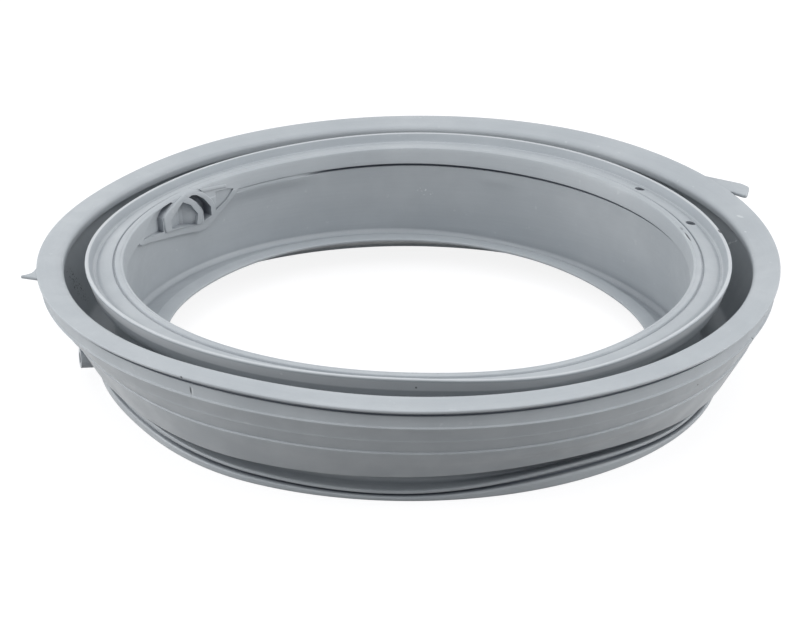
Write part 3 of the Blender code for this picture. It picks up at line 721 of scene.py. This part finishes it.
def rubber(marks):
    """Satin grey rubber: mottled, with fine grain, streaks along the moulding and marks; painted shade in
    folds and on the lip's inner wall, and a painted highlight on the lip's top.
    """
    material, g = new_material("grey_rubber")
    place = g.add("ShaderNodeTexCoord").outputs["Object"]
    split = g.add("ShaderNodeSeparateXYZ", i0=place)
    x, y, z = split.outputs
    radius = g.math("SQRT", g.math("ADD", g.math("MULTIPLY", x, x), g.math("MULTIPLY", y, y)))
    along = g.add("ShaderNodeCombineXYZ", X=g.math("MULTIPLY", x, 0.05), Y=g.math("MULTIPLY", y, 0.05),
                  Z=g.math("ADD", z, g.math("MULTIPLY", radius, 0.8))).outputs[0]
    cloud = g.span(g.noise(place, 14.0, 4.0), 0.34, 0.66)
    mottle = g.span(g.noise(place, 70.0, 4.0, 0.6), 0.3, 0.7)
    streak = g.span(g.noise(along, 900.0, 3.0, 0.6), 0.35, 0.68)
    grain = g.noise(place, 1500.0, 2.0)
    pores = g.noise(place, 520.0, 4.0, 0.65)
    color = g.mix(cloud, CLOUD_DARK, CLOUD_PALE)
    color = g.mix(g.math("MULTIPLY", mottle, 0.35), color, MOTTLE_GREY)
    color = g.mix(g.math("MULTIPLY", streak, 0.10), color, STREAK_GREY)
    dust = g.span(g.noise(place, 210.0, 2.0), 0.70, 0.76)
    color = g.mix(g.math("MULTIPLY", dust, 0.22), color, DUST_GREY)
    # Painted shade: colour darkened in folds, creases and recesses by ambient occlusion.
    fold_occlusion = g.add("ShaderNodeAmbientOcclusion", dict(samples=6, only_local=True),
                   Distance=FOLD_SHADE_REACH * MM)
    fold_shade = g.span(fold_occlusion.outputs["AO"], 0.10, 0.78, 0.88, 0.0)
    color = g.mix(fold_shade, color, FOLD_SHADE_GREY)
    # Painted shade: the lip's steep inner wall, just above the seat, made darker.
    seat = g.band(radius, SEAT_RADIUS - 2.4, SEAT_RADIUS - 0.3, 0.4)
    seat = g.math("MULTIPLY", seat, g.span(z, 54.0 * MM, 57.0 * MM))
    color = g.mix(g.math("MULTIPLY", seat, 0.40), color, LIP_WALL_SHADE)
    # Painted highlight: the lip's flat top made paler.
    edge = g.band(radius, SEAT_RADIUS + 0.2, LIP_RADIUS - 0.8, 0.4)
    edge = g.math("MULTIPLY", edge, g.span(z, 58.0 * MM, 60.0 * MM))
    color = g.mix(g.math("MULTIPLY", edge, 0.55), color, LIP_TOP_HIGHLIGHT)
    speckle = g.span(g.noise(place, 900.0, 2.0), 0.58, 0.66)
    for kind, middle, turn, half, strength in marks:
        local = g.add("ShaderNodeMapping", dict(vector_type="TEXTURE"), Vector=place, Location=middle,
                      Rotation=turn, Scale=half)
        reach = g.add("ShaderNodeVectorMath", dict(operation="LENGTH"), i0=local.outputs[0]).outputs["Value"]
        share = g.span(reach, 0.55, 1.05, strength, 0.0)
        if kind in ("speckled", "dusted"):
            share = g.math("MULTIPLY", share, speckle)
        tone = MARK_PALE if kind in ("pale", "dusted") else MARK_DARK
        color = g.mix(share, color, tone)
    rough = g.math("ADD", g.span(mottle, 0.0, 1.0, 0.36, 0.47), g.math("MULTIPLY", streak, 0.05))
    height = g.math("ADD", g.math("MULTIPLY", grain, 0.5), g.math("MULTIPLY", pores, 0.5))
    fine = g.add("ShaderNodeBump", Strength=0.10, Distance=0.0004, Height=height).outputs[0]
    waves = g.add("ShaderNodeBump", Strength=0.12, Distance=0.004, Height=g.noise(place, 26.0, 3.0),
                  Normal=fine).outputs[0]
    shader = g.add("ShaderNodeBsdfPrincipled", Base_Color=color, Roughness=rough, Normal=waves)
    g.add("ShaderNodeOutputMaterial", Surface=shader.outputs[0])
    return material


def white_floor():
    """White floor that shows white to the camera and keeps a soft shadow of the seal."""
    material, g = new_material("white_floor")
    direct = g.backdrop_ray()
    plain = g.add("ShaderNodeBsdfDiffuse", Color=FLOOR_BOUNCE)
    dim = g.add("ShaderNodeBsdfDiffuse", Color=FLOOR_SHADOW)
    glow = g.add("ShaderNodeEmission", Color=WHITE, Strength=FLOOR_GLOW)
    shown = g.add("ShaderNodeAddShader", i0=dim.outputs[0], i1=glow.outputs[0])
    surface = g.add("ShaderNodeMixShader", i0=direct, i1=plain.outputs[0], i2=shown.outputs[0])
    g.add("ShaderNodeOutputMaterial", Surface=surface.outputs[0])
    return material


def build_stage():
    """Large white floor."""
    mesh = bpy.data.meshes.new("floor")
    half = FLOOR_HALF
    mesh.from_pydata([(-half, -half, 0), (half, -half, 0), (half, half, 0), (-half, half, 0)], [],
                     [(0, 1, 2, 3)])
    floor = bpy.data.objects.new("floor", mesh)
    bpy.context.scene.collection.objects.link(floor)
    mesh.materials.append(white_floor())


def build_world():
    """White behind the object, and a plain soft grey light round it."""
    world = bpy.data.worlds.new("studio")
    bpy.context.scene.world = world
    world.use_nodes = True
    world.node_tree.nodes.clear()
    g = Graph(world)
    direct = g.backdrop_ray()
    direction = g.add("ShaderNodeSeparateXYZ", i0=g.add("ShaderNodeTexCoord").outputs["Generated"])
    level = g.span(direction.outputs["Z"], -0.1, 0.9, WORLD_LOW, WORLD_HIGH)
    light = g.add("ShaderNodeBackground", Color=WORLD_TINT, Strength=level)
    white = g.add("ShaderNodeBackground", Color=WHITE, Strength=1.0)
    surface = g.add("ShaderNodeMixShader", i0=direct, i1=light.outputs[0], i2=white.outputs[0])
    g.add("ShaderNodeOutputWorld", Surface=surface.outputs[0])


def soft_light(name, azimuth, elevation, distance, size, power):
    """Rectangular area light that faces the seal from a photo azimuth."""
    data = bpy.data.lights.new(name, "AREA")
    data.shape = "RECTANGLE"
    data.size, data.size_y = size
    data.energy = power
    light = bpy.data.objects.new(name, data)
    bpy.context.scene.collection.objects.link(light)
    turn = radians(azimuth + PHOTO_TURN)
    rise = radians(elevation)
    back = Vector((cos(turn) * cos(rise), sin(turn) * cos(rise), sin(rise)))
    light.location = back * distance
    light.rotation_mode = "QUATERNION"
    light.rotation_quaternion = (-back).to_track_quat("-Z", "Y")
    return light


def build_lights():
    for lamp in LAMPS:
        soft_light(*lamp)


def build_camera():
    """Camera at the photo's angle, with the rim's middle at its place in the photo."""
    data = bpy.data.cameras.new("camera")
    camera = bpy.data.objects.new("camera", data)
    bpy.context.scene.collection.objects.link(camera)
    data.sensor_fit = "HORIZONTAL"
    data.sensor_width = SENSOR
    data.lens = FOCAL_PIXELS * SENSOR / IMAGE_SIZE[0]
    data.clip_start, data.clip_end = 0.05, 50.0
    turn, rise = radians(CAMERA_AZIMUTH), radians(CAMERA_ELEVATION)
    back = Vector((cos(turn) * cos(rise), sin(turn) * cos(rise), sin(rise)))
    camera.location = Vector((0, 0, RIM_LEVEL * MM)) + back * CAMERA_DISTANCE * MM
    right = atan2(TARGET_PIXEL[0] - IMAGE_SIZE[0] / 2, FOCAL_PIXELS)
    up = atan2(IMAGE_SIZE[1] / 2 - TARGET_PIXEL[1], FOCAL_PIXELS)
    aim = (-back).to_track_quat("-Z", "Y") @ Euler((-up, right, radians(CAMERA_ROLL))).to_quaternion()
    camera.rotation_mode = "QUATERNION"
    camera.rotation_quaternion = aim
    bpy.context.scene.camera = camera
    return camera


def main():
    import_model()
    bpy.context.scene.view_settings.view_transform = "Standard"
    seal = build_seal()
    sag(seal.data)
    shade(seal.data)
    seal.data.materials.clear()
    camera = build_camera()
    seal.data.materials.append(rubber(placed_marks(seal, camera)))
    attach(seal, "root")
    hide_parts("door_seal")
    build_stage()
    build_world()
    build_lights()


main()
